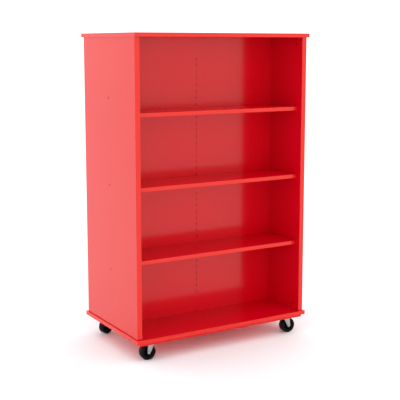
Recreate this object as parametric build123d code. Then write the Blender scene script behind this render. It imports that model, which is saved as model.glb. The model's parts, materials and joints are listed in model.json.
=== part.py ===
from build123d import *
import os

# Double-sided mobile shelving unit: a case of two side panels and a centre divider
# between a top panel and a base panel, three loose shelves on each face, and four
# swivel casters let into pockets of a sub-base.
# Millimetres. X runs across the unit, Y from the front face to the rear face, Z up.
# The origin is on the floor under the middle of the case. Front and rear are mirror images.

# Case
case_width = 955.0
case_depth = 552.0
side_thickness = 25.0
board_thickness = 19.0
base_underside = 94.0
divider_height = 1395.0
overhang_at_sides = 7.0
overhang_at_faces = 14.0

# Edge band glued to every edge that shows
band_thickness = 2.0
band_round = 0.8

# Sub-base under the base panel
sub_base_width = 933.0
sub_base_depth = 562.0
sub_base_thickness = 12.0
pocket_length = 96.0
pocket_width = 60.0
pocket_corner_radius = 8.0

# Loose shelves
shelves_per_face = 3
lowest_shelf_top = 478.0
shelf_spacing = 343.5
shelf_setback = 32.0
shelf_end_gap = 3.0
shelf_rear_gap = 1.0
shelf_rest_gap = 0.1

# Column of pin holes down the middle of the divider, on both faces
system_hole_diameter = 5.0
system_hole_depth = 8.0
system_hole_pitch = 32.0
system_hole_count = 38
top_system_hole_below_top = 124.0

# Shelf pins
pin_depth_in_panel = 8.0
pin_tongue_round = 3.0
pin_collar_diameter = 8.5
pin_collar_length = 1.5
pin_tongue_length = 13.0
pin_tongue_width = 11.0
pin_tongue_thickness = 3.0
pin_inset_front = 66.0
pin_inset_rear = 45.0

# Cam fittings, wood dowels and screws
cam_diameter = 15.0
cam_depth = 16.5
cam_from_panel_end = 34.0
cam_from_case_face = 46.0
cam_slot_length = 9.0
cam_slot_width = 2.6
cam_slot_depth = 2.4
cam_hollow_clearance = 0.2
cam_hollow_past_head = 3.0
cam_bolt_diameter = 7.0
cam_bolt_head_diameter = 7.8
cam_bolt_head_length = 4.0
cam_bolt_neck_diameter = 5.0
cam_bolt_shoulder_gap = 1.0
cam_bolt_in_board = 11.0
dowel_diameter = 8.0
dowel_in_board = 12.0
dowel_in_panel = 28.0
side_dowel_from_cam = 45.0
side_dowel_from_middle = 75.0
divider_dowel_count = 4
divider_dowel_spacing = 240.0
divider_screw_spacing = 415.0
divider_screw_head_diameter = 9.0
divider_screw_head_length = 4.5
divider_screw_shank_diameter = 6.6
divider_screw_thread_diameter = 5.0
divider_screw_length = 54.0
hex_socket_flats = 4.6
hex_socket_depth = 3.5
wood_screw_diameter = 4.0
wood_screw_head_diameter = 8.0
wood_screw_head_height = 2.4
sub_base_screw_length = 26.0
sub_base_screw_count = 4
sub_base_screw_spacing = 280.0
sub_base_screw_from_middle = 130.0
plate_screw_length = 18.0
cross_slot_width = 1.1
cross_slot_length = 4.6
cross_slot_depth = 1.4

# Casters
kingpin_x = 371.0
kingpin_y = 237.0
caster_trail = 36.0
wheel_diameter = 75.0
tyre_width = 34.0
tyre_shoulder_radius = 2.0
tyre_depth = 12.0
hub_rim_width = 30.0
hub_rim_depth = 4.0
hub_web_thickness = 8.0
hub_boss_diameter = 22.0
hub_boss_length = 36.4
running_clearance = 0.05
axle_diameter = 8.0
sleeve_diameter = 12.0
fork_sheet = 2.5
fork_inside_width = 38.0
fork_tip_radius = 8.3
crown_above_wheel = 1.5
crown_radius = 26.0
leg_top_outer = 40.3
leg_top_inner = 6.7
leg_bend_radius = 2.0
plate_length = 90.0
plate_width = 56.0
plate_thickness = 3.0
plate_hole_spacing_x = 74.0
plate_hole_spacing_y = 40.0
plate_corner_radius = 6.0
race_outer_radius = 24.0
race_inner_radius = 12.0
race_height = 4.5
ball_diameter = 5.0
ball_pitch_radius = 18.0
ball_count = 16
ball_clearance = 0.3
kingpin_diameter = 9.0
kingpin_head_diameter = 15.0
kingpin_head_height = 3.2
kingpin_head_round = 1.2
kingpin_top_diameter = 14.0
axle_head_diameter = 14.0
axle_head_height = 4.0
axle_head_round = 2.5
axle_nut_flats = 13.0
axle_nut_height = 6.0
axle_end_past_nut = 2.0

# Each caster: name, side (-1 left, 1 right), face (-1 front, 1 rear), the direction in
# degrees in which its wheel trails, and the end of the axle that carries the bolt's head.
casters = [
    ("front_left", -1, -1, 178.0, 1),
    ("front_right", 1, -1, -3.0, -1),
    ("rear_left", -1, 1, 202.0, -1),
    ("rear_right", 1, 1, -14.0, 1),
]

# Worked out from the above
half_width = case_width / 2
half_depth = case_depth / 2
inner_half_width = half_width - side_thickness
base_top = base_underside + board_thickness
case_top = base_top + divider_height
overall_width = case_width + 2 * overhang_at_sides
overall_depth = case_depth + 2 * overhang_at_faces
divider_face = board_thickness / 2
side_mid = half_width - side_thickness / 2
shelf_length = 2 * (inner_half_width - shelf_end_gap)
shelf_front = half_depth - shelf_setback
shelf_rear = divider_face + shelf_rear_gap
shelf_tops = [lowest_shelf_top + shelf_spacing * level for level in range(shelves_per_face)]
cam_y = half_depth - cam_from_case_face
sub_base_underside = base_underside - sub_base_thickness
wheel_radius = wheel_diameter / 2
crown_underside = wheel_diameter + crown_above_wheel
crown_top = crown_underside + fork_sheet
plate_underside = base_underside - plate_thickness
ball_height = (crown_top + plate_underside) / 2
leg_outer_face = fork_inside_width / 2 + fork_sheet
hub_radius = wheel_radius - tyre_depth

outer_dowel_y = cam_y - side_dowel_from_cam
dowel_ys_in_sides = [-outer_dowel_y, -side_dowel_from_middle, side_dowel_from_middle, outer_dowel_y]

LOW = (Align.CENTER, Align.CENTER, Align.MIN)


def evenly(count, spacing):
    """Places along a line, the same distance apart and centred on zero."""
    first = -spacing * (count - 1) / 2
    return [first + spacing * place for place in range(count)]


dowel_xs_in_divider = evenly(divider_dowel_count, divider_dowel_spacing)
sub_base_screw_xs = evenly(sub_base_screw_count, sub_base_screw_spacing)
sub_base_screw_ys = [-sub_base_screw_from_middle, sub_base_screw_from_middle]


def save(node, *solids):
    """Write one node as one STEP file, holding one solid or a group of separate solids."""
    export_step(Compound(list(solids)), os.path.join("parts", node + ".step"))


def solids_of(shape):
    return list(shape.solids())


def rod(diameter, length):
    """A round bar that stands on its origin, along +Z."""
    return Cylinder(diameter / 2, length, align=LOW)


def board(width, depth, thickness, underside):
    """A flat board centred on the Z axis, with its underside at the given height."""
    return Pos(0, 0, underside) * Box(width, depth, thickness, align=LOW)


def strip(length, thickness, width):
    """A band along X, centred, with its outer face towards -Y and its outer edges rounded."""
    blank = Box(length, thickness, width)
    outer_edges = blank.edges().filter_by(Axis.X).group_by(Axis.Y)[0]
    return fillet(outer_edges, band_round)


def bands_around(width, depth, thickness, underside):
    """Four bands round a board: two over its full width, two between them at the sides."""
    height = underside + thickness / 2
    long_band = strip(width, band_thickness, thickness)
    short_band = strip(depth - 2 * band_thickness, band_thickness, thickness)
    front = Pos(0, -depth / 2 + band_thickness / 2, height) * long_band
    side = Pos(width / 2 - band_thickness / 2, 0, height) * Rot(0, 0, 90) * short_band
    return [front, Rot(0, 0, 180) * front, side, Rot(0, 0, 180) * side]


def drilled(panel, *holes):
    """The panel with a list of hole-shaped solids taken out of it."""
    return panel - list(holes)


# Where the fittings go

def cam_places():
    """Centres of the cams: x side, y, height, and which way is inward along Z (1 up, -1 down)."""
    places = []
    for side in (-1, 1):
        for y in (-cam_y, cam_y):
            places.append((side, y, base_top + cam_from_panel_end, 1))
            places.append((side, y, case_top - cam_from_panel_end, -1))
    return places


def dowel_places():
    """Foot of each wood dowel: x, y and the height of the joint it crosses, and its direction."""
    places = []
    for joint, direction in ((base_top, 1), (case_top, -1)):
        for side in (-1, 1):
            for y in dowel_ys_in_sides:
                places.append((side * side_mid, y, joint, direction))
        for x in dowel_xs_in_divider:
            places.append((x, 0, joint, direction))
    return places


def wood_dowels():
    length = dowel_in_board + dowel_in_panel
    dowel = Pos(0, 0, -dowel_in_board) * rod(dowel_diameter, length)
    return [
        Pos(x, y, joint) * Rot(0 if direction > 0 else 180, 0, 0) * dowel
        for x, y, joint, direction in dowel_places()
    ]


def cam_bolt():
    """A cam bolt along +Z from the joint: threaded foot below, neck and ball-ended head above."""
    foot = Pos(0, 0, -cam_bolt_in_board) * rod(cam_bolt_diameter, cam_bolt_in_board)
    head_start = cam_from_panel_end - cam_bolt_head_length / 2
    shaft_end = cam_from_panel_end - cam_diameter / 2 - cam_bolt_shoulder_gap
    shaft = rod(cam_bolt_diameter, shaft_end)
    neck = Pos(0, 0, shaft_end) * rod(cam_bolt_neck_diameter, head_start - shaft_end)
    head = Pos(0, 0, head_start) * rod(cam_bolt_head_diameter, cam_bolt_head_length)
    return foot + shaft + neck + head


def cam_bolts():
    bolt = cam_bolt()
    bolts = []
    for side, y, height, direction in cam_places():
        joint = height - direction * cam_from_panel_end
        turn = Rot(0 if direction > 0 else 180, 0, 0)
        bolts.append(Pos(side * side_mid, y, joint) * turn * bolt)
    return bolts


def cam_bolt_bores():
    """The bore that each cam bolt passes through, from its foot to the middle of its cam."""
    bore_length = cam_bolt_in_board + cam_from_panel_end
    bores = []
    for side, y, height, direction in cam_places():
        joint = height - direction * cam_from_panel_end
        turn = Rot(0 if direction > 0 else 180, 0, 0)
        foot = Pos(0, 0, -cam_bolt_in_board) * rod(cam_bolt_diameter, cam_bolt_in_board)
        shaft = rod(cam_bolt_head_diameter, bore_length - cam_bolt_in_board)
        bores.append(Pos(side * side_mid, y, joint) * turn * (foot + shaft))
    return bores


def cam_blank():
    """A cam's outer cylinder, lying along +X from the inner face of the left side panel."""
    return Rot(0, 90, 0) * rod(cam_diameter, cam_depth)


def cam_pockets():
    blank = cam_blank()
    pockets = []
    for side, y, height, direction in cam_places():
        turn = Rot(0, 0, 0 if side > 0 else 180)
        pockets.append(Pos(side * inner_half_width, y, height) * turn * blank)
    return pockets


def cam_locks():
    """Cams with a cross slot in the face and a hollow in which the bolt's head is held."""
    blank = cam_blank()
    slot = Box(2 * cam_slot_depth, cam_slot_width, cam_slot_length)
    cross = slot + Rot(90, 0, 0) * slot
    hollow_diameter = cam_bolt_head_diameter + 2 * cam_hollow_clearance
    hollow = rod(hollow_diameter, cam_diameter + cam_hollow_past_head)
    bolt_line = side_thickness / 2
    cam = blank - cross - Pos(bolt_line, 0, -cam_diameter) * hollow
    cams = []
    for side, y, height, direction in cam_places():
        turn = Rot(0, 0, 0 if side > 0 else 180)
        flip = Rot(0 if direction > 0 else 180, 0, 0)
        cams.append(Pos(side * inner_half_width, y, height) * turn * flip * cam)
    return cams


def divider_screw_places():
    """Side and height of each screw through a side panel into the divider's edge."""
    middle = (base_top + case_top) / 2
    heights = [middle + step * divider_screw_spacing for step in (-1, 0, 1)]
    return [(side, height) for side in (-1, 1) for height in heights]


def divider_screw_blank():
    """A screw pointing along +X, its flush head starting at the origin."""
    head = rod(divider_screw_head_diameter, divider_screw_head_length)
    shank = rod(divider_screw_shank_diameter, side_thickness)
    thread = rod(divider_screw_thread_diameter, divider_screw_length)
    return Rot(0, 90, 0) * (head + shank + thread)


def at_divider_screws(shape):
    placed = []
    for side, height in divider_screw_places():
        turn = Rot(0, 0, 0 if side < 0 else 180)
        placed.append(Pos(side * half_width, 0, height) * turn * shape)
    return placed


def divider_screws():
    socket = extrude(RegularPolygon(hex_socket_flats / 2, 6, major_radius=False), hex_socket_depth)
    return at_divider_screws(divider_screw_blank() - Rot(0, 90, 0) * socket)


def wood_screw_hole(length):
    """The outer shape of a countersunk screw pointing along +Z, its head's face at the origin."""
    head = Cone(
        wood_screw_head_diameter / 2,
        wood_screw_diameter / 2,
        wood_screw_head_height,
        align=LOW,
    )
    return head + rod(wood_screw_diameter, length)


def wood_screw(length):
    """A screw that fills its hole, with a cross slot in its head."""
    slot = Box(cross_slot_length, cross_slot_width, 2 * cross_slot_depth)
    return wood_screw_hole(length) - slot - Rot(0, 0, 90) * slot


def at_sub_base_screws(shape):
    return [
        Pos(x, y, sub_base_underside) * shape
        for x in sub_base_screw_xs
        for y in sub_base_screw_ys
    ]


def at_plate_screws(shape):
    """The four screws of each caster's plate, with their heads under the plate."""
    placed = []
    for name, side, face, direction, head_end in casters:
        for corner in GridLocations(plate_hole_spacing_x, plate_hole_spacing_y, 2, 2):
            centre = Pos(side * kingpin_x, face * kingpin_y, plate_underside)
            placed.append(centre * corner * shape)
    return placed


# Case

def top_panel():
    width = overall_width - 2 * band_thickness
    depth = overall_depth - 2 * band_thickness
    panel = board(width, depth, board_thickness, case_top)
    return drilled(panel, *wood_dowels(), *cam_bolt_bores())


def base_panel():
    width = overall_width - 2 * band_thickness
    depth = overall_depth - 2 * band_thickness
    panel = board(width, depth, board_thickness, base_underside)
    sub_base_holes = at_sub_base_screws(wood_screw_hole(sub_base_screw_length))
    plate_holes = at_plate_screws(wood_screw_hole(plate_screw_length))
    return drilled(panel, *wood_dowels(), *cam_bolt_bores(), *sub_base_holes, *plate_holes)


def sub_base():
    panel = board(sub_base_width, sub_base_depth, sub_base_thickness, sub_base_underside)
    outline = RectangleRounded(pocket_length, pocket_width, pocket_corner_radius)
    pocket = Pos(0, 0, sub_base_underside) * extrude(outline, sub_base_thickness)
    pockets = [
        Pos(side * kingpin_x, face * kingpin_y, 0) * pocket
        for name, side, face, direction, head_end in casters
    ]
    holes = at_sub_base_screws(wood_screw_hole(sub_base_screw_length))
    return drilled(panel, *pockets, *holes)


def pin_ys():
    """Distances of the shelf pins from the middle of the unit, for the front or rear shelves."""
    return (shelf_front - pin_inset_front, shelf_rear + pin_inset_rear)


def shelf_pin_places():
    """Side, y and height of the pin's axis, for every shelf."""
    places = []
    for top in shelf_tops:
        height = top - board_thickness - shelf_rest_gap - system_hole_diameter / 2
        for face in (-1, 1):
            for y in pin_ys():
                for side in (-1, 1):
                    places.append((side, face * y, height))
    return places


def at_shelf_pins(shape):
    placed = []
    for side, y, height in shelf_pin_places():
        turn = Rot(0, 0, 0 if side < 0 else 180)
        placed.append(Pos(side * inner_half_width, y, height) * turn * shape)
    return placed


def pin_stub():
    """The round end of a shelf pin, inside the left panel, pointing along -X from its face."""
    return Rot(0, -90, 0) * rod(system_hole_diameter, pin_depth_in_panel)


def shelf_pins():
    """Pins with a collar at the panel's face and a flat tongue on which the shelf lies."""
    stub = pin_stub()
    collar = Rot(0, 90, 0) * rod(pin_collar_diameter, pin_collar_length)
    above = Box(pin_collar_diameter, pin_collar_diameter, pin_collar_diameter, align=LOW)
    collar = collar - Pos(pin_collar_length / 2, 0, system_hole_diameter / 2) * above
    tongue_height = system_hole_diameter / 2 - pin_tongue_thickness / 2
    tongue = Pos(pin_tongue_length / 2, 0, tongue_height) * Box(
        pin_tongue_length,
        pin_tongue_width,
        pin_tongue_thickness,
    )
    front_corners = tongue.edges().filter_by(Axis.Z).group_by(Axis.X)[-1]
    tongue = fillet(front_corners, pin_tongue_round)
    return at_shelf_pins(stub + collar + tongue)


def side_panel(side):
    core = Pos(side * side_mid, 0, base_top) * Box(
        side_thickness,
        case_depth - 2 * band_thickness,
        divider_height,
        align=LOW,
    )
    screw_holes = at_divider_screws(divider_screw_blank())
    return drilled(
        core,
        *wood_dowels(),
        *cam_bolt_bores(),
        *cam_pockets(),
        *at_shelf_pins(pin_stub()),
        *screw_holes,
    )


def side_bands(side):
    upright = Rot(0, 90, 0) * strip(divider_height, band_thickness, side_thickness)
    height = base_top + divider_height / 2
    front = Pos(side * side_mid, -half_depth + band_thickness / 2, height) * upright
    rear = Pos(side * side_mid, half_depth - band_thickness / 2, height) * Rot(0, 0, 180) * upright
    return [front, rear]


def centre_divider():
    panel = board(2 * inner_half_width, board_thickness, divider_height, base_top)
    hole = Rot(90, 0, 0) * rod(system_hole_diameter, system_hole_depth)
    top_hole = case_top + board_thickness - top_system_hole_below_top
    holes = []
    for row in range(system_hole_count):
        height = top_hole - row * system_hole_pitch
        holes.append(Pos(0, -divider_face + system_hole_depth, height) * hole)
        holes.append(Pos(0, divider_face, height) * hole)
    return drilled(panel, *holes, *wood_dowels(), *at_divider_screws(divider_screw_blank()))


# Shelves

def shelf_board(face, top):
    depth = shelf_front - shelf_rear - band_thickness
    middle = shelf_rear + depth / 2
    return Pos(0, face * middle, 0) * board(
        shelf_length,
        depth,
        board_thickness,
        top - board_thickness,
    )


def shelf_band(face, top):
    band = strip(shelf_length, band_thickness, board_thickness)
    front = Pos(0, -shelf_front + band_thickness / 2, top - board_thickness / 2) * band
    return front if face < 0 else Rot(0, 0, 180) * front


# Casters: each piece is built with the kingpin on the Z axis and the wheel towards +X

def ball_groove():
    return Pos(0, 0, ball_height) * Torus(ball_pitch_radius, ball_diameter / 2 + ball_clearance)


def race_ring(underside):
    ring = rod(2 * race_outer_radius, race_height) - rod(2 * race_inner_radius, race_height)
    return Pos(0, 0, underside) * ring - ball_groove()


def kingpin_top_cone():
    return Pos(0, 0, plate_underside) * Cone(
        kingpin_diameter / 2,
        kingpin_top_diameter / 2,
        plate_thickness,
        align=LOW,
    )


def caster_plate():
    outline = RectangleRounded(plate_length, plate_width, plate_corner_radius)
    plate = Pos(0, 0, plate_underside) * extrude(outline, plate_thickness)
    holes = [
        Pos(0, 0, plate_underside) * corner * wood_screw_hole(plate_screw_length)
        for corner in GridLocations(plate_hole_spacing_x, plate_hole_spacing_y, 2, 2)
    ]
    upper_race = race_ring(plate_underside - race_height)
    return drilled(plate, *holes, kingpin_top_cone()) + upper_race


def kingpin():
    head_top = crown_underside - ball_clearance
    shaft_start = head_top - kingpin_head_height
    head = Pos(0, 0, shaft_start) * rod(kingpin_head_diameter, kingpin_head_height)
    head = fillet(head.edges().group_by(Axis.Z)[0], kingpin_head_round)
    shaft = Pos(0, 0, shaft_start) * rod(kingpin_diameter, plate_underside - shaft_start)
    return head + shaft + kingpin_top_cone()


def race_balls():
    ball = Sphere(ball_diameter / 2)
    ring = Pos(0, 0, ball_height) * PolarLocations(ball_pitch_radius, ball_count)
    return [place * ball for place in ring]


def fork_leg():
    """One leg of the fork as a flat sheet, its outer face at y = -leg_outer_face."""
    tip = Pos(caster_trail, wheel_radius) * Circle(fork_tip_radius)
    top_edge = Line((leg_top_inner, crown_top), (leg_top_outer, crown_top))
    outline = make_hull(tip.edges() + top_edge.edges())
    leg = extrude(Plane.XZ * outline, fork_sheet)
    return Pos(0, fork_sheet - leg_outer_face, 0) * leg


def fork():
    tongue = Pos((leg_top_outer + leg_top_inner) / 2, 0, crown_underside) * Box(
        leg_top_outer - leg_top_inner,
        2 * leg_outer_face,
        fork_sheet,
        align=LOW,
    )
    leg = fork_leg()
    bent_sheet = tongue + leg + mirror(leg, Plane.XZ)
    bends = bent_sheet.edges().filter_by(Axis.X).group_by(Axis.Z)[-1]
    bent_sheet = fillet(bends, leg_bend_radius)
    crown = Pos(0, 0, crown_underside) * rod(2 * crown_radius, fork_sheet)
    kingpin_hole = Pos(0, 0, crown_underside) * rod(
        kingpin_diameter + 2 * running_clearance,
        fork_sheet,
    )
    axle_hole = along_axle(rod(axle_diameter, 2 * leg_outer_face), -leg_outer_face)
    return bent_sheet + crown + race_ring(crown_top) - kingpin_hole - axle_hole


def along_axle(shape, start):
    """Turn a shape that stands along +Z to lie along the axle, from the given y."""
    return Pos(caster_trail, start, wheel_radius) * Rot(-90, 0, 0) * shape


def tyre():
    ring = rod(wheel_diameter, tyre_width)
    shoulders = ring.edges().filter_by(GeomType.CIRCLE)
    ring = fillet(shoulders, tyre_shoulder_radius)
    return along_axle(ring - rod(2 * hub_radius, tyre_width), -tyre_width / 2)


def wheel_hub():
    """A hub with a rim, a thinner web and a long boss, bored to run on the axle sleeve."""
    web_radius = hub_radius - hub_rim_depth
    rim = rod(2 * hub_radius, hub_rim_width)
    recess_depth = (hub_rim_width - hub_web_thickness) / 2
    recess = rod(2 * web_radius, recess_depth)
    body = rim - recess - Pos(0, 0, hub_rim_width - recess_depth) * recess
    boss = Pos(0, 0, (hub_rim_width - hub_boss_length) / 2) * rod(hub_boss_diameter, hub_boss_length)
    bore = Pos(0, 0, -hub_boss_length) * rod(
        sleeve_diameter + 2 * running_clearance,
        3 * hub_boss_length,
    )
    return along_axle(body + boss - bore, -hub_rim_width / 2)


def axle_sleeve():
    sleeve = rod(sleeve_diameter, fork_inside_width) - rod(axle_diameter, fork_inside_width)
    return along_axle(sleeve, -fork_inside_width / 2)


def axle_bolt(head_end):
    """A bolt with a low domed head; head_end is -1 for the head towards -Y, 1 for +Y."""
    head = rod(axle_head_diameter, axle_head_height)
    head = fillet(head.edges().group_by(Axis.Z)[0], axle_head_round)
    length = 2 * leg_outer_face + axle_nut_height + axle_end_past_nut
    shaft = Pos(0, 0, axle_head_height) * rod(axle_diameter, length)
    bolt = along_axle(head + shaft, -leg_outer_face - axle_head_height)
    return bolt if head_end < 0 else mirror(bolt, Plane.XZ)


def axle_nut(head_end):
    hexagon = extrude(RegularPolygon(axle_nut_flats / 2, 6, major_radius=False), axle_nut_height)
    nut = along_axle(hexagon - rod(axle_diameter, axle_nut_height), leg_outer_face)
    return nut if head_end < 0 else mirror(nut, Plane.XZ)


def write_case():
    save("top_panel", *solids_of(top_panel()))
    save("top_edge_band", *bands_around(overall_width, overall_depth, board_thickness, case_top))
    save("base_panel", *solids_of(base_panel()))
    base_bands = bands_around(overall_width, overall_depth, board_thickness, base_underside)
    save("base_edge_band", *base_bands)
    save("sub_base", *solids_of(sub_base()))
    for name, side in (("left", -1), ("right", 1)):
        save(name + "_side_panel", *solids_of(side_panel(side)))
        save(name + "_side_edge_bands", *side_bands(side))
    save("centre_divider", *solids_of(centre_divider()))


def write_shelves():
    for face_name, face in (("front", -1), ("rear", 1)):
        for level_name, top in zip(("lower", "middle", "upper"), shelf_tops):
            node = "shelf_" + face_name + "_" + level_name
            save(node, shelf_board(face, top))
            save(node + "_edge_band", shelf_band(face, top))


def write_fasteners():
    save("shelf_pins", *shelf_pins())
    save("cam_locks", *cam_locks())
    save("cam_bolts", *cam_bolts())
    save("wood_dowels", *wood_dowels())
    save("divider_screws", *divider_screws())
    save("sub_base_screws", *at_sub_base_screws(wood_screw(sub_base_screw_length)))
    save("caster_plate_screws", *at_plate_screws(wood_screw(plate_screw_length)))


def write_casters():
    kingpins = []
    balls = []
    for name, side, face, direction, head_end in casters:
        centre = Pos(side * kingpin_x, face * kingpin_y, 0)
        swivelled = centre * Rot(0, 0, direction)
        kingpins.append(centre * kingpin())
        balls += [centre * ball for ball in race_balls()]
        prefix = "caster_" + name
        save(prefix + "_plate", *solids_of(centre * caster_plate()))
        save(prefix + "_fork", *solids_of(swivelled * fork()))
        save(prefix + "_tyre", *solids_of(swivelled * tyre()))
        save(prefix + "_wheel_hub", *solids_of(swivelled * wheel_hub()))
        save(prefix + "_axle_sleeve", *solids_of(swivelled * axle_sleeve()))
        save(prefix + "_axle_bolt", *solids_of(swivelled * axle_bolt(head_end)))
        save(prefix + "_axle_nut", *solids_of(swivelled * axle_nut(head_end)))
    save("kingpins", *kingpins)
    save("race_balls", *balls)


os.makedirs("parts", exist_ok=True)
write_case()
write_shelves()
write_fasteners()
write_casters()
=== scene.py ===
"""Looks for a double-sided mobile shelving unit: red board case, loose shelves, four casters.

Metres throughout. The case, its fittings and the casters' plates, bolts and balls are the frame's
own nodes, and get materials here. Each caster's tyre, hub, fork, crown and nut are built here in
the caster's own frame, with the kingpin on the Z axis and the wheel towards +X, and then set in
place.
"""
import json
import math

import bmesh
import bpy
from mathutils import Matrix, Vector


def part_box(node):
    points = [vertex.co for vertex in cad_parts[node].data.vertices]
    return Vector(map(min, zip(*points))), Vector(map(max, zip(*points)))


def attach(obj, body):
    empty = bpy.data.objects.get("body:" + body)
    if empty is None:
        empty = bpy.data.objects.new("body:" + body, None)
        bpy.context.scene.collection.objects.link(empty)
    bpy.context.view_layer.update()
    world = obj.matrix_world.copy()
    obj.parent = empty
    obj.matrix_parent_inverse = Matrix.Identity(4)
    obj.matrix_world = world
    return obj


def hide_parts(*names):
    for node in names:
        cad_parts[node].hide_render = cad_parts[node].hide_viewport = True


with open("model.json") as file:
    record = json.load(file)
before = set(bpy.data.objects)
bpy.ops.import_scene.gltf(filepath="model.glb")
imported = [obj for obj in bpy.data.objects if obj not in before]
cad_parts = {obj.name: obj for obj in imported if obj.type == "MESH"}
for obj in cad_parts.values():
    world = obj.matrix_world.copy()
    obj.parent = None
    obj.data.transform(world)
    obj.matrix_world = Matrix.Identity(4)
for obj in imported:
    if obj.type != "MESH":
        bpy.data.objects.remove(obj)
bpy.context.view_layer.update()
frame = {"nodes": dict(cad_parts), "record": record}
record = frame["record"]
nodes = frame["nodes"]

MM = 0.001

# Camera: in front of the unit and to its left, at about the height of the top panel.
# Angles in degrees, the lens and the sensor in millimetres, the shift in picture widths.
CAMERA_PLACE = (-2.314, -3.894, 1.477)
CAMERA_YAW = 31.01
CAMERA_PITCH = -8.56
CAMERA_LENS = 81.49
CAMERA_SHIFT = -0.05
CAMERA_SENSOR = 36.0
CAMERA_REACH = 200.0

# Light and floor
DOME_COLOUR = (1.0, 1.0, 1.0, 1.0)
DOME_STRENGTH = 1.38
FLOOR_SIZE = 60.0

# Colours, linear
# Painted shade: the divider gets a bluer copy of the red, for the shade in the bays
RED_SHADED_DIVIDER = (0.68, 0.0008, 0.0105)
# Painted shade: the boards' faces inside the bays get this darker, bluer copy of the case's red
RED_SHADED_INSIDE = (0.645, 0.0006, 0.0112)
# Painted light: the outer faces get this paler, oranger copy of the same red
RED_LIT_OUTSIDE = (0.68, 0.002, 0.0015)
# Painted light: the sub-base's underside is paler than its other faces, so it throws more red light
# onto the floor beneath
RED_UNDERSIDE_PAINTED_LIGHT = (0.97, 0.004, 0.008)
RED_BAND = (0.71, 0.0055, 0.001)
# Painted shade: the sub-base's edges, under the base's overhang, get a darker copy of the red
RED_SHADED_SUB_BASE_EDGE = (0.66, 0.004, 0.003)
RED_SCREW = (0.30, 0.002, 0.002)
# Painted shade: a dark ring round each pin hole, which widens the hole's dark spot
RED_HOLE_SHADE_RIM = (0.27, 0.004, 0.003)
# Painted shade: the walls of the holes are near black, for the shade inside them
HOLE_WALL_SHADE = (0.03, 0.004, 0.003)
LACQUER_SHINE = (1.0, 1.0, 0.91, 1.0)
FLOOR_DARKER = (0.93, 0.95, 0.965)
FLOOR_PALER = (0.95, 0.97, 0.985)
ZINC = (0.42, 0.41, 0.395)
BLACK_RUBBER = (0.0022, 0.0022, 0.0021)
BLACK_PLASTIC = (0.0018, 0.0018, 0.0019)
DARK_SOCKET = (0.02, 0.008, 0.008)
CAM_RED = (0.42, 0.0005, 0.004)
BEECH = (0.62, 0.45, 0.28)

# How far below a board's face its red coat ends and its raw core starts
COAT = 0.15 * MM

# How deep the materials' relief is at full strength
RELIEF_DEPTH = 0.1 * MM

# The span that most of a noise's values fall in, stretched where a mottle needs more contrast
NOISE_SPAN = (0.3, 0.7)

# The divider's columns of pin holes, with a dark ring painted round each hole as shade that widens
# its dark spot
HOLE_PITCH = 32.0 * MM
HOLE_COUNT = 38
HOLE_RIM_RADIUS = 3.3 * MM

CASTERS = ("front_left", "front_right", "rear_left", "rear_right")

# Mesh detail. Edges sharper than the angle, in degrees, stay crisp
TURN_STEPS = 96
ARC_STEPS = 5
SHARP_ANGLE = 32.0
WELD_DISTANCE = 0.001 * MM

# Tyre
TREAD_RADIUS = 37.35 * MM
MOULD_LINE_RADIUS = 37.5 * MM
MOULD_LINE_WIDTH = 0.8 * MM
TYRE_HALF_WIDTH = 17.0 * MM
TYRE_SHOULDER = 2.0 * MM
RING_OUTER_RADIUS = 31.2 * MM
RING_INNER_RADIUS = 28.4 * MM
RING_STEP = 0.5 * MM
RING_ROUND = 0.4 * MM
BEAD_RADIUS = 25.5 * MM
BEAD_HALF_WIDTH = 15.8 * MM
BEAD_ROUND = 0.3 * MM

# Hub. Its ribs sink a little into the rim, web and boss, and are thinner at the top
RIM_RADIUS = 25.45 * MM
RIM_HALF_WIDTH = 15.0 * MM
RIM_INNER_RADIUS = 22.4 * MM
RIM_SEAT_ROUND = 0.5 * MM
RIM_EDGE_ROUND = 0.6 * MM
WEB_OUTER_RADIUS = 21.2 * MM
WEB_HALF = 4.0 * MM
WEB_ROUND = 1.5 * MM
BOSS_FOOT_RADIUS = 11.8 * MM
BOSS_RADIUS = 10.8 * MM
BOSS_HALF_LENGTH = 18.1 * MM
BOSS_ROUND = 0.6 * MM
BORE_RADIUS = 6.1 * MM
BORE_ROUND = 0.4 * MM
HUB_RIB_COUNT = 6
HUB_RIB_HALF_THICKNESS = 1.1 * MM
HUB_RIB_THINNING = 0.7
HUB_RIB_TOP_OUTER = 11.5 * MM
HUB_RIB_TOP_INNER = 14.5 * MM
HUB_RIB_SINK = 0.5 * MM

# Fork, bent from sheet, with the leg's edges as distances from the kingpin at the crown
SHEET = 2.5 * MM
FORK_INSIDE_HALF = 19.0 * MM
FORK_TIP_RADIUS = 8.3 * MM
LEG_TOP_INNER = 6.7 * MM
LEG_TOP_OUTER = 40.3 * MM
CROWN_UNDERSIDE = 76.5 * MM
BEND_RADIUS = 2.9 * MM
SHEET_EDGE_ROUND = 0.35 * MM
SHEET_EDGE_SEGMENTS = 2

# The rib pressed into each leg: its half width is a share of the leg's width
LEG_RIB_DEPTH = 1.0 * MM
LEG_RIB_HALF_SHARE = 0.24
LEG_RIB_RISE = 6 * MM
LEG_RIB_FALL = 5 * MM

# Crown, a disc that stands just proud of the sheet, with the race's lower half on it
CROWN_PROUD = 0.05 * MM
CROWN_RADIUS = 26.0 * MM
CROWN_ROUND = 0.8 * MM
KINGPIN_HOLE = 4.6 * MM
KINGPIN_HOLE_ROUND = 0.3 * MM
RACE_OUTER = 24.0 * MM
RACE_INNER = 12.0 * MM
RACE_TOP = 83.5 * MM
RACE_FOOT_ROUND = 0.5 * MM
RACE_TOP_ROUND = 0.6 * MM
BALL_PITCH = 18.0 * MM
BALL_HEIGHT = 85.0 * MM
GROOVE_RADIUS = 2.8 * MM
GROOVE_STEPS = 10

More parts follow.
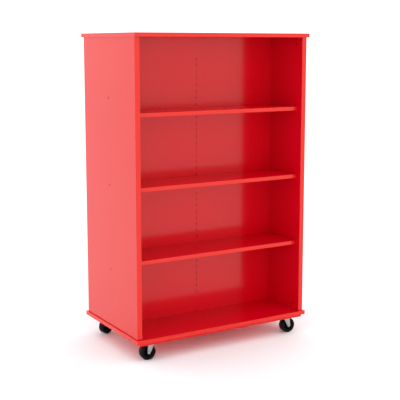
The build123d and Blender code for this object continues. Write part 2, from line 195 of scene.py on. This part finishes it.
# Nut
NUT_STEPS = 72
NUT_FLATS_HALF = 6.5 * MM
NUT_HEIGHT = 6.0 * MM
NUT_BORE = 3.9 * MM
NUT_BORE_CHAMFER = 0.5 * MM
NUT_CHAMFER_SLOPE = 0.55
NUT_END_FACE = 0.97 * NUT_FLATS_HALF


# Node helpers

def new_material(name):
    """A material with one Principled shader, and its node tree and shader."""
    material = bpy.data.materials.new(name)
    material.use_nodes = True
    tree = material.node_tree
    tree.nodes.clear()
    output = tree.nodes.new("ShaderNodeOutputMaterial")
    shader = tree.nodes.new("ShaderNodeBsdfPrincipled")
    tree.links.new(shader.outputs["BSDF"], output.inputs["Surface"])
    return material, tree, shader


def noise(tree, scale, detail=2.0, roughness=0.5, stretch=(1.0, 1.0, 1.0)):
    """Noise in the frame's own metres: a scale of 1000 gives features about 1 mm across."""
    place = tree.nodes.new("ShaderNodeTexCoord")
    mapping = tree.nodes.new("ShaderNodeMapping")
    mapping.inputs["Scale"].default_value = stretch
    texture = tree.nodes.new("ShaderNodeTexNoise")
    texture.inputs["Scale"].default_value = scale
    texture.inputs["Detail"].default_value = detail
    texture.inputs["Roughness"].default_value = roughness
    tree.links.new(place.outputs["Object"], mapping.inputs["Vector"])
    tree.links.new(mapping.outputs["Vector"], texture.inputs["Vector"])
    return texture.outputs["Fac"]


def ranged(tree, value, low, high, from_low=0.0, from_high=1.0):
    """A value moved from one range, past which it is cut off, to another."""
    node = tree.nodes.new("ShaderNodeMapRange")
    node.inputs["From Min"].default_value = from_low
    node.inputs["From Max"].default_value = from_high
    node.inputs["To Min"].default_value = low
    node.inputs["To Max"].default_value = high
    tree.links.new(value, node.inputs["Value"])
    return node.outputs["Result"]


def worked_out(tree, operation, *values):
    """A number worked out from numbers and the outputs of other nodes."""
    node = tree.nodes.new("ShaderNodeMath")
    node.operation = operation
    for socket, value in zip(node.inputs, values):
        if isinstance(value, float):
            socket.default_value = value
        else:
            tree.links.new(value, socket)
    return node.outputs["Value"]


def pin_hole_rims(tree):
    """1 on a narrow rim round each of the divider's pin holes, and 0 elsewhere."""
    top_hole = next(mount for mount in record["mounts"] if mount["name"] == "top_pin_hole_front")
    place = tree.nodes.new("ShaderNodeTexCoord")
    parts = tree.nodes.new("ShaderNodeSeparateXYZ")
    tree.links.new(place.outputs["Object"], parts.inputs["Vector"])
    below = worked_out(tree, "SUBTRACT", float(top_hole["pos_m"][2]), parts.outputs["Z"])
    beside = worked_out(tree, "WRAP", below, HOLE_PITCH / 2, -HOLE_PITCH / 2)
    across = worked_out(tree, "MULTIPLY", parts.outputs["X"], parts.outputs["X"])
    along = worked_out(tree, "MULTIPLY", beside, beside)
    apart = worked_out(tree, "SQRT", worked_out(tree, "ADD", across, along))
    near = worked_out(tree, "LESS_THAN", apart, HOLE_RIM_RADIUS)
    half_column = (HOLE_COUNT - 1) * HOLE_PITCH / 2
    in_column = worked_out(tree, "COMPARE", below, half_column, half_column + HOLE_PITCH / 2)
    return worked_out(tree, "MULTIPLY", near, in_column)


def mixed(tree, factor, a, b):
    """A colour between a and b, each either a colour or the output of another node."""
    node = tree.nodes.new("ShaderNodeMix")
    node.data_type = "RGBA"
    for socket, value in (("A", a), ("B", b)):
        if isinstance(value, tuple):
            node.inputs[socket].default_value = (*value, 1.0)
        else:
            tree.links.new(value, node.inputs[socket])
    tree.links.new(factor, node.inputs["Factor"])
    return node.outputs["Result"]


def bump(tree, shader, height, strength):
    """Fine relief in a shader's normal, from the output of another node."""
    node = tree.nodes.new("ShaderNodeBump")
    node.inputs["Strength"].default_value = strength
    node.inputs["Distance"].default_value = RELIEF_DEPTH
    tree.links.new(height, node.inputs["Height"])
    tree.links.new(node.outputs["Normal"], shader.inputs["Normal"])


def scaled(colour, factor):
    """A colour made darker or paler, no channel past 1."""
    return tuple(min(channel * factor, 1.0) for channel in colour)


# Materials

def lacquer(name, colour, roughness, gloss, rims=False):
    """Glossy red board: even colour, a fine orange peel and faint handling marks.

    With rims, it is the divider's, and a dark ring of painted shade lies round each of the pin
    holes.
    """
    material, tree, shader = new_material(name)
    cloud = ranged(tree, noise(tree, scale=5.0, detail=3.0), 0.0, 1.0, *NOISE_SPAN)
    coat = mixed(tree, cloud, scaled(colour, 0.97), colour)
    handled = noise(tree, scale=12.0, detail=3.0)
    marks = ranged(tree, handled, roughness - 0.015, roughness + 0.02, *NOISE_SPAN)
    if rims:
        hole_shade_rims = pin_hole_rims(tree)
        coat = mixed(tree, hole_shade_rims, coat, RED_HOLE_SHADE_RIM)
        rough_rim = worked_out(tree, "MULTIPLY", hole_shade_rims, 0.8)
        marks = worked_out(tree, "ADD", marks, rough_rim)
        # Metallic takes the board's gloss off the rim, and leaves the rim's painted dark red as
        # shade
        tree.links.new(hole_shade_rims, shader.inputs["Metallic"])
    tree.links.new(coat, shader.inputs["Base Color"])
    tree.links.new(marks, shader.inputs["Roughness"])
    shader.inputs["Specular IOR Level"].default_value = gloss
    shader.inputs["Specular Tint"].default_value = LACQUER_SHINE
    bump(tree, shader, noise(tree, scale=500.0), strength=0.03)
    return material


def hole_wall_in_shade(name):
    """Bare board on the wall of a drilled hole: rough fibre, painted near black as the shade inside
    the hole.
    """
    material, tree, shader = new_material(name)
    fibre = mixed(tree, noise(tree, scale=900.0, detail=4.0), scaled(HOLE_WALL_SHADE, 0.6), HOLE_WALL_SHADE)
    tree.links.new(fibre, shader.inputs["Base Color"])
    shader.inputs["Roughness"].default_value = 0.9
    shader.inputs["Specular IOR Level"].default_value = 0.0
    return material


def zinc(name):
    """Bright zinc plate on pressed steel: a soft mottle, fine pits and rubbed patches."""
    material, tree, shader = new_material(name)
    mottle = noise(tree, scale=60.0, detail=4.0, roughness=0.6)
    cloud = ranged(tree, mottle, 0.0, 1.0, *NOISE_SPAN)
    tree.links.new(mixed(tree, cloud, scaled(ZINC, 0.82), ZINC), shader.inputs["Base Color"])
    shader.inputs["Metallic"].default_value = 1.0
    rubbed = ranged(tree, noise(tree, scale=240.0, detail=3.0), 0.30, 0.48)
    tree.links.new(rubbed, shader.inputs["Roughness"])
    bump(tree, shader, noise(tree, scale=1500.0), strength=0.15)
    return material


def black(name, colour, gloss, smooth, rough):
    """Black rubber or moulded plastic: a dusty mottle, uneven sheen and a fine grain."""
    material, tree, shader = new_material(name)
    specks = noise(tree, scale=90.0, detail=5.0, roughness=0.65)
    dust = ranged(tree, specks, 0.0, 1.0, from_low=0.5, from_high=0.85)
    tree.links.new(mixed(tree, dust, colour, scaled(colour, 3.0)), shader.inputs["Base Color"])
    worn = ranged(tree, noise(tree, scale=150.0, detail=4.0), smooth, rough)
    tree.links.new(worn, shader.inputs["Roughness"])
    shader.inputs["Specular IOR Level"].default_value = gloss
    bump(tree, shader, noise(tree, scale=1300.0, detail=3.0), strength=0.2)
    return material


def paint(name, colour, roughness, gloss):
    """A thin, slightly uneven coat of paint on a fastener."""
    material, tree, shader = new_material(name)
    cloud = noise(tree, scale=300.0, detail=3.0)
    tree.links.new(mixed(tree, cloud, scaled(colour, 0.75), colour), shader.inputs["Base Color"])
    shader.inputs["Roughness"].default_value = roughness
    shader.inputs["Specular IOR Level"].default_value = gloss
    bump(tree, shader, noise(tree, scale=1200.0), strength=0.1)
    return material


def beech(name):
    """Beech of the dowels, with its grain along them."""
    material, tree, shader = new_material(name)
    grain = noise(tree, scale=400.0, detail=4.0, stretch=(1.0, 1.0, 0.08))
    tree.links.new(mixed(tree, grain, scaled(BEECH, 0.7), BEECH), shader.inputs["Base Color"])
    shader.inputs["Roughness"].default_value = 0.6
    return material


slot_materials = {
    # The slot's boards take the darker inside copy of the red, painted shade
    "red_board": lacquer("red_board", RED_SHADED_INSIDE, roughness=0.15, gloss=0.06),
    "red_edge_band": lacquer("red_edge_band", RED_BAND, roughness=0.16, gloss=0.5),
    "zinc_steel": zinc("zinc_steel"),
    "dark_screw": paint("dark_screw", DARK_SOCKET, roughness=0.6, gloss=0.1),
    "cam_zinc": paint("cam_zinc", CAM_RED, roughness=0.45, gloss=0.25),
    "beech_dowel": beech("beech_dowel"),
    "black_tyre": black("black_tyre", BLACK_RUBBER, gloss=0.09, smooth=0.3, rough=0.5),
    "black_hub": black("black_hub", BLACK_PLASTIC, gloss=0.06, smooth=0.35, rough=0.55),
}
# The side panels' inner faces take the darker copy, painted shade, and their outer faces the paler
# one, painted light
side_inside_shaded = lacquer("red_shaded_inner_face", RED_SHADED_INSIDE, roughness=0.15, gloss=0.12)
side_outside_lit = lacquer("red_lit_outer_face", RED_LIT_OUTSIDE, roughness=0.15, gloss=0.5)
drilled = hole_wall_in_shade("hole_wall_in_shade")
node_materials = {
    # The divider takes its bluer copy of the red, painted shade
    "centre_divider": lacquer("red_shaded_divider", RED_SHADED_DIVIDER, roughness=0.15, gloss=0.42, rims=True),
    "left_side_panel": side_inside_shaded,
    "right_side_panel": side_inside_shaded,
    # The sub-base's underside takes the paler copy of the red, painted light
    "sub_base": lacquer("red_underside_painted_light", RED_UNDERSIDE_PAINTED_LIGHT, roughness=0.3, gloss=0.3),
}
# The shelves take the darker inside copy too, painted shade
shelf_material = lacquer("red_shelf", RED_SHADED_INSIDE, roughness=0.18, gloss=0.04)


def dress_nodes():
    """Give every CAD node its own material, or else that of its slot in the record."""
    for subpart in record["subparts"]:
        name = subpart["node"]
        slot = subpart["material_slot"]
        material = node_materials.get(name, slot_materials[slot])
        if name.startswith("shelf_") and slot == "red_board":
            material = shelf_material
        nodes[name].data.materials.clear()
        nodes[name].data.materials.append(material)


def dress_faces(node, material, chosen):
    """Give one more material to a node, on the faces whose middle point passes a test."""
    mesh = nodes[node].data
    mesh.materials.append(material)
    for face in mesh.polygons:
        if chosen(face.center):
            face.material_index = len(mesh.materials) - 1


def dress_special_faces():
    """The paler outer faces, painted light; the walls of drilled holes, painted shade; the
    sub-base's darker edges, painted shade; and the painted screw heads.
    """
    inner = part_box("right_side_panel")[0].x + COAT
    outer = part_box("right_side_panel")[1].x - COAT
    for side in ("left_side_panel", "right_side_panel"):
        # Painted light: the side panels' outer faces take the paler copy of the red
        dress_faces(side, side_outside_lit, lambda middle: abs(middle.x) > outer)
        # Painted shade: the walls of the side panels' holes are near black
        dress_faces(side, drilled, lambda middle: inner < abs(middle.x) < outer)
    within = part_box("centre_divider")[1].y - COAT
    # Painted shade: the walls of the divider's holes are near black
    dress_faces("centre_divider", drilled, lambda middle: abs(middle.y) < within)
    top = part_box("top_panel")[1].z - COAT
    # Painted light: the top panel's top face takes the paler outer copy of the red
    dress_faces("top_panel", side_outside_lit, lambda middle: middle.z > top)
    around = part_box("sub_base")[0].z + COAT
    # Painted shade: a darker copy of the red on the sub-base's edges, under the overhang
    edge = lacquer("red_shaded_sub_base_edge", RED_SHADED_SUB_BASE_EDGE, roughness=0.2, gloss=0.3)
    dress_faces("sub_base", edge, lambda middle: middle.z > around)
    heads = paint("painted_screw_head", RED_SCREW, roughness=0.5, gloss=0.1)
    dress_faces("divider_screws", heads, lambda middle: abs(middle.x) > outer - COAT)


# Mesh helpers

def filleted(corners):
    """A closed outline from corners (u, v, radius), with an arc at each corner that has one."""
    outline = []
    for index, (u, v, radius) in enumerate(corners):
        corner = Vector((u, v))
        if radius == 0.0:
            outline.append(corner)
            continue
        before = (Vector(corners[index - 1][:2]) - corner).normalized()
        after = (Vector(corners[(index + 1) % len(corners)][:2]) - corner).normalized()
        half_angle = before.angle(after) / 2
        centre = corner + (before + after).normalized() * (radius / math.sin(half_angle))
        touch = radius / math.tan(half_angle)
        start = corner + before * touch - centre
        end = corner + after * touch - centre
        first = math.atan2(start.y, start.x)
        sweep = (math.atan2(end.y, end.x) - first + math.pi) % (2 * math.pi) - math.pi
        for step in range(ARC_STEPS + 1):
            angle = first + sweep * step / ARC_STEPS
            outline.append(centre + Vector((math.cos(angle), math.sin(angle))) * radius)
    return outline


def arc(centre_u, centre_v, radius, start, end, steps):
    """Points along an arc, as corners without a fillet. Angles in degrees."""
    points = []
    for step in range(steps + 1):
        angle = math.radians(start + (end - start) * step / steps)
        u = centre_u + radius * math.cos(angle)
        v = centre_v + radius * math.sin(angle)
        points.append((u, v, 0.0))
    return points


def mirrored(half):
    """A closed outline from its half with v above zero, which runs from outside to inside."""
    return half + [(u, -v, radius) for u, v, radius in reversed(half)]


def join_rings(build, rings):
    """Close a ring of cross-sections, each one a closed loop of vertices, into a surface."""
    for here, there in zip(rings, rings[1:] + rings[:1]):
        for index in range(len(here)):
            after = (index + 1) % len(here)
            build.faces.new((here[index], here[after], there[after], there[index]))


def turned(build, outline, axis):
    """Turn a closed outline of (radius, along) points about the Y or Z axis."""
    rings = []
    for step in range(TURN_STEPS):
        angle = 2 * math.pi * step / TURN_STEPS
        ring = []
        for radius, along in outline:
            across, up = radius * math.cos(angle), radius * math.sin(angle)
            place = (across, along, up) if axis == "Y" else (across, up, along)
            ring.append(build.verts.new(place))
        rings.append(ring)
    join_rings(build, rings)


def finish_mesh(name, build):
    """Clean a bmesh, mark its sharp edges, smooth the rest and turn it into an object."""
    bmesh.ops.remove_doubles(build, verts=build.verts, dist=WELD_DISTANCE)
    bmesh.ops.recalc_face_normals(build, faces=build.faces)
    for face in build.faces:
        face.smooth = True
    sharp = math.radians(SHARP_ANGLE)
    for edge in build.edges:
        edge.smooth = len(edge.link_faces) == 2 and edge.calc_face_angle() < sharp
    mesh = bpy.data.meshes.new(name)
    build.to_mesh(mesh)
    build.free()
    piece = bpy.data.objects.new(name, mesh)
    bpy.context.scene.collection.objects.link(piece)
    return piece


# Wheels

def make_tyre(name):
    """Rubber tyre: a mould line round a flat tread, round shoulders, a raised ring each side."""
    half = [
        (MOULD_LINE_RADIUS, MOULD_LINE_WIDTH / 2, 0.0),
        (TREAD_RADIUS, MOULD_LINE_WIDTH, 0.0),
        (TREAD_RADIUS, TYRE_HALF_WIDTH - RING_STEP, TYRE_SHOULDER),
        (RING_OUTER_RADIUS + RING_STEP, TYRE_HALF_WIDTH - RING_STEP, RING_ROUND),
        (RING_OUTER_RADIUS, TYRE_HALF_WIDTH, RING_ROUND),
        (RING_INNER_RADIUS, TYRE_HALF_WIDTH, RING_ROUND),
        (RING_INNER_RADIUS - RING_STEP, TYRE_HALF_WIDTH - RING_STEP, BEAD_ROUND),
        (BEAD_RADIUS, BEAD_HALF_WIDTH, BEAD_ROUND),
    ]
    build = bmesh.new()
    turned(build, filleted(mirrored(half)), "Y")
    return finish_mesh(name, build)


def add_rib(build, angle, side):
    """A radial rib of the hub, tapered towards its top edge, on one side of the web."""
    ends = (
        (BOSS_RADIUS - HUB_RIB_SINK, HUB_RIB_TOP_INNER),
        (RIM_INNER_RADIUS + HUB_RIB_SINK, HUB_RIB_TOP_OUTER),
    )
    foot = WEB_HALF - HUB_RIB_SINK
    foot_half = HUB_RIB_HALF_THICKNESS
    top_half = HUB_RIB_HALF_THICKNESS * HUB_RIB_THINNING
    turn = Matrix.Rotation(angle, 3, "Y")
    corners = []
    for radius, top in ends:
        for half, along in ((foot_half, foot), (top_half, top)):
            for sign in (-1, 1):
                place = turn @ Vector((radius, side * along, sign * half))
                corners.append(build.verts.new(place))
    low_a, low_b, top_a, top_b, far_low_a, far_low_b, far_top_a, far_top_b = corners
    build.faces.new((low_a, top_a, top_b, low_b))
    build.faces.new((far_low_a, far_low_b, far_top_b, far_top_a))
    build.faces.new((low_a, far_low_a, far_top_a, top_a))
    build.faces.new((low_b, top_b, far_top_b, far_low_b))
    build.faces.new((top_a, far_top_a, far_top_b, top_b))
    build.faces.new((low_a, low_b, far_low_b, far_low_a))


def make_hub(name):
    """Moulded hub: a drafted rim, a web with ribs on both sides, and a long boss with a bore."""
    half = [
        (RIM_RADIUS, RIM_HALF_WIDTH, RIM_SEAT_ROUND),
        (RIM_INNER_RADIUS, RIM_HALF_WIDTH, RIM_EDGE_ROUND),
        (WEB_OUTER_RADIUS, WEB_HALF, WEB_ROUND),
        (BOSS_FOOT_RADIUS, WEB_HALF, WEB_ROUND),
        (BOSS_RADIUS, BOSS_HALF_LENGTH, BOSS_ROUND),
        (BORE_RADIUS, BOSS_HALF_LENGTH, BORE_ROUND),
    ]
    build = bmesh.new()
    turned(build, filleted(mirrored(half)), "Y")
    for side in (-1, 1):
        for number in range(HUB_RIB_COUNT):
            add_rib(build, 2 * math.pi * number / HUB_RIB_COUNT, side)
    return finish_mesh(name, build)


# Forks

def leg_edge(height, top_x, side, trail, axle_height):
    """Where a leg's edge runs at a height: a straight taper that meets the round tip."""
    tip = Vector((trail, axle_height))
    top = Vector((top_x, CROWN_UNDERSIDE + SHEET)) - tip
    spread = math.acos(FORK_TIP_RADIUS / top.length)
    angle = math.atan2(top.y, top.x) - side * spread
    touch = Vector((math.cos(angle), math.sin(angle))) * FORK_TIP_RADIUS
    above = height - axle_height
    if above >= touch.y:
        share = (above - touch.y) / (top.y - touch.y)
        return trail + touch.x + (top.x - touch.x) * share
    return trail + side * math.sqrt(max(FORK_TIP_RADIUS ** 2 - above ** 2, 0.0))


def fork_rows(trail, axle_height):
    """Rows across the bent sheet, as (y, z, left x, right x), from one leg's tip to the other's."""
    middle_y = FORK_INSIDE_HALF + SHEET / 2
    middle_z = CROWN_UNDERSIDE + SHEET / 2
    bend_start = middle_z - BEND_RADIUS
    tip_steps, leg_steps, bend_steps = 10, 12, 5
    line = []
    for step in range(tip_steps):
        angle = math.pi / 2 * step / tip_steps
        line.append((middle_y, axle_height - FORK_TIP_RADIUS * math.cos(angle)))
    for step in range(leg_steps + 1):
        line.append((middle_y, axle_height + (bend_start - axle_height) * step / leg_steps))
    for step in range(1, bend_steps + 1):
        angle = math.pi / 2 * step / bend_steps
        across = middle_y - BEND_RADIUS + BEND_RADIUS * math.cos(angle)
        line.append((across, bend_start + BEND_RADIUS * math.sin(angle)))
    line.append((middle_y / 2, middle_z))
    rows = []
    for across, height in line:
        left = leg_edge(height, LEG_TOP_INNER, -1, trail, axle_height)
        right = leg_edge(height, LEG_TOP_OUTER, 1, trail, axle_height)
        rows.append((across, height, left, right))
    middle = (0.0, *rows[-1][1:])
    other = [(-across, height, left, right) for across, height, left, right in reversed(rows)]
    return rows + [middle] + other


def rib_depth(share, height, axle_height):
    """How far a leg's pressed rib stands out, at a share of the leg's width and a height."""
    across = 1.0 - min(abs(share - 0.5) / LEG_RIB_HALF_SHARE, 1.0)
    bottom = axle_height + FORK_TIP_RADIUS
    top = CROWN_UNDERSIDE - 2 * BEND_RADIUS
    rise = min(max((height - bottom) / LEG_RIB_RISE, 0.0), 1.0)
    fall = min(max((top - height) / LEG_RIB_FALL, 0.0), 1.0)
    eased = across * across * (3 - 2 * across)
    return LEG_RIB_DEPTH * eased * rise * fall


def make_fork(name, trail, axle_height):
    """Pressed steel fork: two tapered legs with a pressed rib, bent down from one sheet."""
    columns = 16
    build = bmesh.new()
    grid = []
    for across, height, left, right in fork_rows(trail, axle_height):
        side = (across > 0) - (across < 0)
        row = []
        for column in range(columns + 1):
            share = column / columns
            out = side * rib_depth(share, height, axle_height)
            row.append(build.verts.new((left + (right - left) * share, across + out, height)))
        grid.append(row)
    for lower, upper in zip(grid, grid[1:]):
        for column in range(columns):
            build.faces.new((lower[column], lower[column + 1], upper[column + 1], upper[column]))
    piece = finish_mesh(name, build)
    solid = piece.modifiers.new("sheet", "SOLIDIFY")
    solid.thickness = SHEET
    solid.offset = 0.0
    solid.use_even_offset = True
    edges = piece.modifiers.new("edges", "BEVEL")
    edges.width = SHEET_EDGE_ROUND
    edges.segments = SHEET_EDGE_SEGMENTS
    edges.limit_method = "ANGLE"
    edges.angle_limit = math.radians(SHARP_ANGLE)
    return piece


def make_crown(name):
    """The fork's round crown, with the lower half of the ball race pressed into it."""
    underside = CROWN_UNDERSIDE - CROWN_PROUD
    crown_top = CROWN_UNDERSIDE + SHEET + CROWN_PROUD
    reach = math.degrees(math.asin((BALL_HEIGHT - RACE_TOP) / GROOVE_RADIUS))
    outline = [
        (KINGPIN_HOLE, underside, KINGPIN_HOLE_ROUND),
        (CROWN_RADIUS, underside, CROWN_ROUND),
        (CROWN_RADIUS, crown_top, CROWN_ROUND),
        (RACE_OUTER, crown_top, RACE_FOOT_ROUND),
        (RACE_OUTER, RACE_TOP, RACE_TOP_ROUND),
        *arc(BALL_PITCH, BALL_HEIGHT, GROOVE_RADIUS, -reach, reach - 180.0, GROOVE_STEPS),
        (RACE_INNER, RACE_TOP, RACE_TOP_ROUND),
        (RACE_INNER, crown_top, RACE_FOOT_ROUND),
        (KINGPIN_HOLE, crown_top, KINGPIN_HOLE_ROUND),
    ]
    build = bmesh.new()
    turned(build, filleted(outline), "Z")
    return finish_mesh(name, build)


def make_nut(name, inner_face, side):
    """A hexagon nut on the axle, chamfered at its free end. side is 1 towards +Y or -1."""
    build = bmesh.new()
    rings = []
    for step in range(NUT_STEPS):
        turn = 360.0 * step / NUT_STEPS
        # The angle from the middle of the nearest of the six flats
        off_flat = math.radians((turn + 30.0) % 60.0 - 30.0)
        reach = NUT_FLATS_HALF / math.cos(off_flat)
        drop = (reach - NUT_FLATS_HALF) * NUT_CHAMFER_SLOPE
        profile = (
            (NUT_BORE, 0.0),
            (reach, 0.0),
            (reach, NUT_HEIGHT - drop),
            (NUT_END_FACE, NUT_HEIGHT),
            (NUT_BORE + NUT_BORE_CHAMFER, NUT_HEIGHT),
            (NUT_BORE, NUT_HEIGHT - NUT_BORE_CHAMFER),
        )
        angle = math.radians(turn)
        ring = []
        for radius, along in profile:
            across, up = radius * math.cos(angle), radius * math.sin(angle)
            ring.append(build.verts.new((across, side * (inner_face + along), up)))
        rings.append(ring)
    join_rings(build, rings)
    return finish_mesh(name, build)


# Casters in place

def middle_of(node):
    """The middle of a CAD node's box."""
    low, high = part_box(node)
    return (low + high) / 2


def set_in_place(piece, place, body, slot, node):
    """Move a piece's mesh out of the caster's own frame, and say what it is."""
    piece.data.transform(place)
    piece.data.materials.append(slot_materials[slot])
    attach(piece, body)
    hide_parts(node)


def make_caster(name):
    """The pieces of one caster, placed and turned by where the frame has its wheel and plate."""
    prefix = "caster_" + name
    wheel = middle_of(prefix + "_tyre")
    kingpin = middle_of(prefix + "_plate")
    kingpin.z = 0.0
    way = Vector((wheel.x - kingpin.x, wheel.y - kingpin.y))
    trail, axle_height = way.length, wheel.z
    heading = math.atan2(way.y, way.x)
    swivelled = Matrix.Translation(kingpin) @ Matrix.Rotation(heading, 4, "Z")
    at_axle = swivelled @ Matrix.Translation((trail, 0.0, axle_height))
    towards_nut = Matrix.Rotation(-heading, 3, "Z") @ (middle_of(prefix + "_axle_nut") - wheel)
    nut_side = 1 if towards_nut.y > 0 else -1

    on_wheel, on_fork = prefix + "_wheel", prefix + "_fork"
    tyre = make_tyre(name + "_tyre")
    hub = make_hub(name + "_hub")
    fork = make_fork(name + "_fork", trail, axle_height)
    crown = make_crown(name + "_fork_crown")
    nut = make_nut(name + "_axle_nut", FORK_INSIDE_HALF + SHEET, nut_side)
    set_in_place(tyre, at_axle, on_wheel, "black_tyre", prefix + "_tyre")
    set_in_place(hub, at_axle, on_wheel, "black_hub", prefix + "_wheel_hub")
    set_in_place(fork, swivelled, on_fork, "zinc_steel", prefix + "_fork")
    set_in_place(crown, swivelled, on_fork, "zinc_steel", prefix + "_fork")
    set_in_place(nut, at_axle, on_fork, "zinc_steel", prefix + "_axle_nut")


# Stage

def make_camera():
    """The camera, turned CAMERA_YAW to the right of +Y and CAMERA_PITCH above level."""
    camera = bpy.data.objects.new("camera", bpy.data.cameras.new("camera"))
    bpy.context.scene.collection.objects.link(camera)
    camera.location = CAMERA_PLACE
    tilt = math.radians(90.0 + CAMERA_PITCH)
    camera.rotation_euler = (tilt, 0.0, math.radians(-CAMERA_YAW))
    camera.data.lens = CAMERA_LENS
    camera.data.sensor_width = CAMERA_SENSOR
    camera.data.shift_y = CAMERA_SHIFT
    camera.data.clip_end = CAMERA_REACH
    bpy.context.scene.camera = camera


def make_world():
    """Even white light from all round, as in a studio tent."""
    world = bpy.data.worlds.new("studio")
    world.use_nodes = True
    background = world.node_tree.nodes["Background"]
    background.inputs["Color"].default_value = DOME_COLOUR
    background.inputs["Strength"].default_value = DOME_STRENGTH
    bpy.context.scene.world = world
    bpy.context.scene.view_settings.view_transform = "Standard"


def make_floor():
    """A plain pale floor, wide enough to reach past every view."""
    mesh = bpy.data.meshes.new("floor")
    half = FLOOR_SIZE / 2
    corners = [(-half, -half, 0.0), (half, -half, 0.0), (half, half, 0.0), (-half, half, 0.0)]
    mesh.from_pydata(corners, [], [(0, 1, 2, 3)])
    floor = bpy.data.objects.new("floor", mesh)
    bpy.context.scene.collection.objects.link(floor)
    material, tree, shader = new_material("pale_floor")
    tone = mixed(tree, noise(tree, scale=2.0), FLOOR_DARKER, FLOOR_PALER)
    tree.links.new(tone, shader.inputs["Base Color"])
    shader.inputs["Roughness"].default_value = 0.8
    shader.inputs["Specular IOR Level"].default_value = 0.2
    mesh.materials.append(material)


make_camera()
make_world()
make_floor()
dress_nodes()
dress_special_faces()
for caster in CASTERS:
    make_caster(caster)
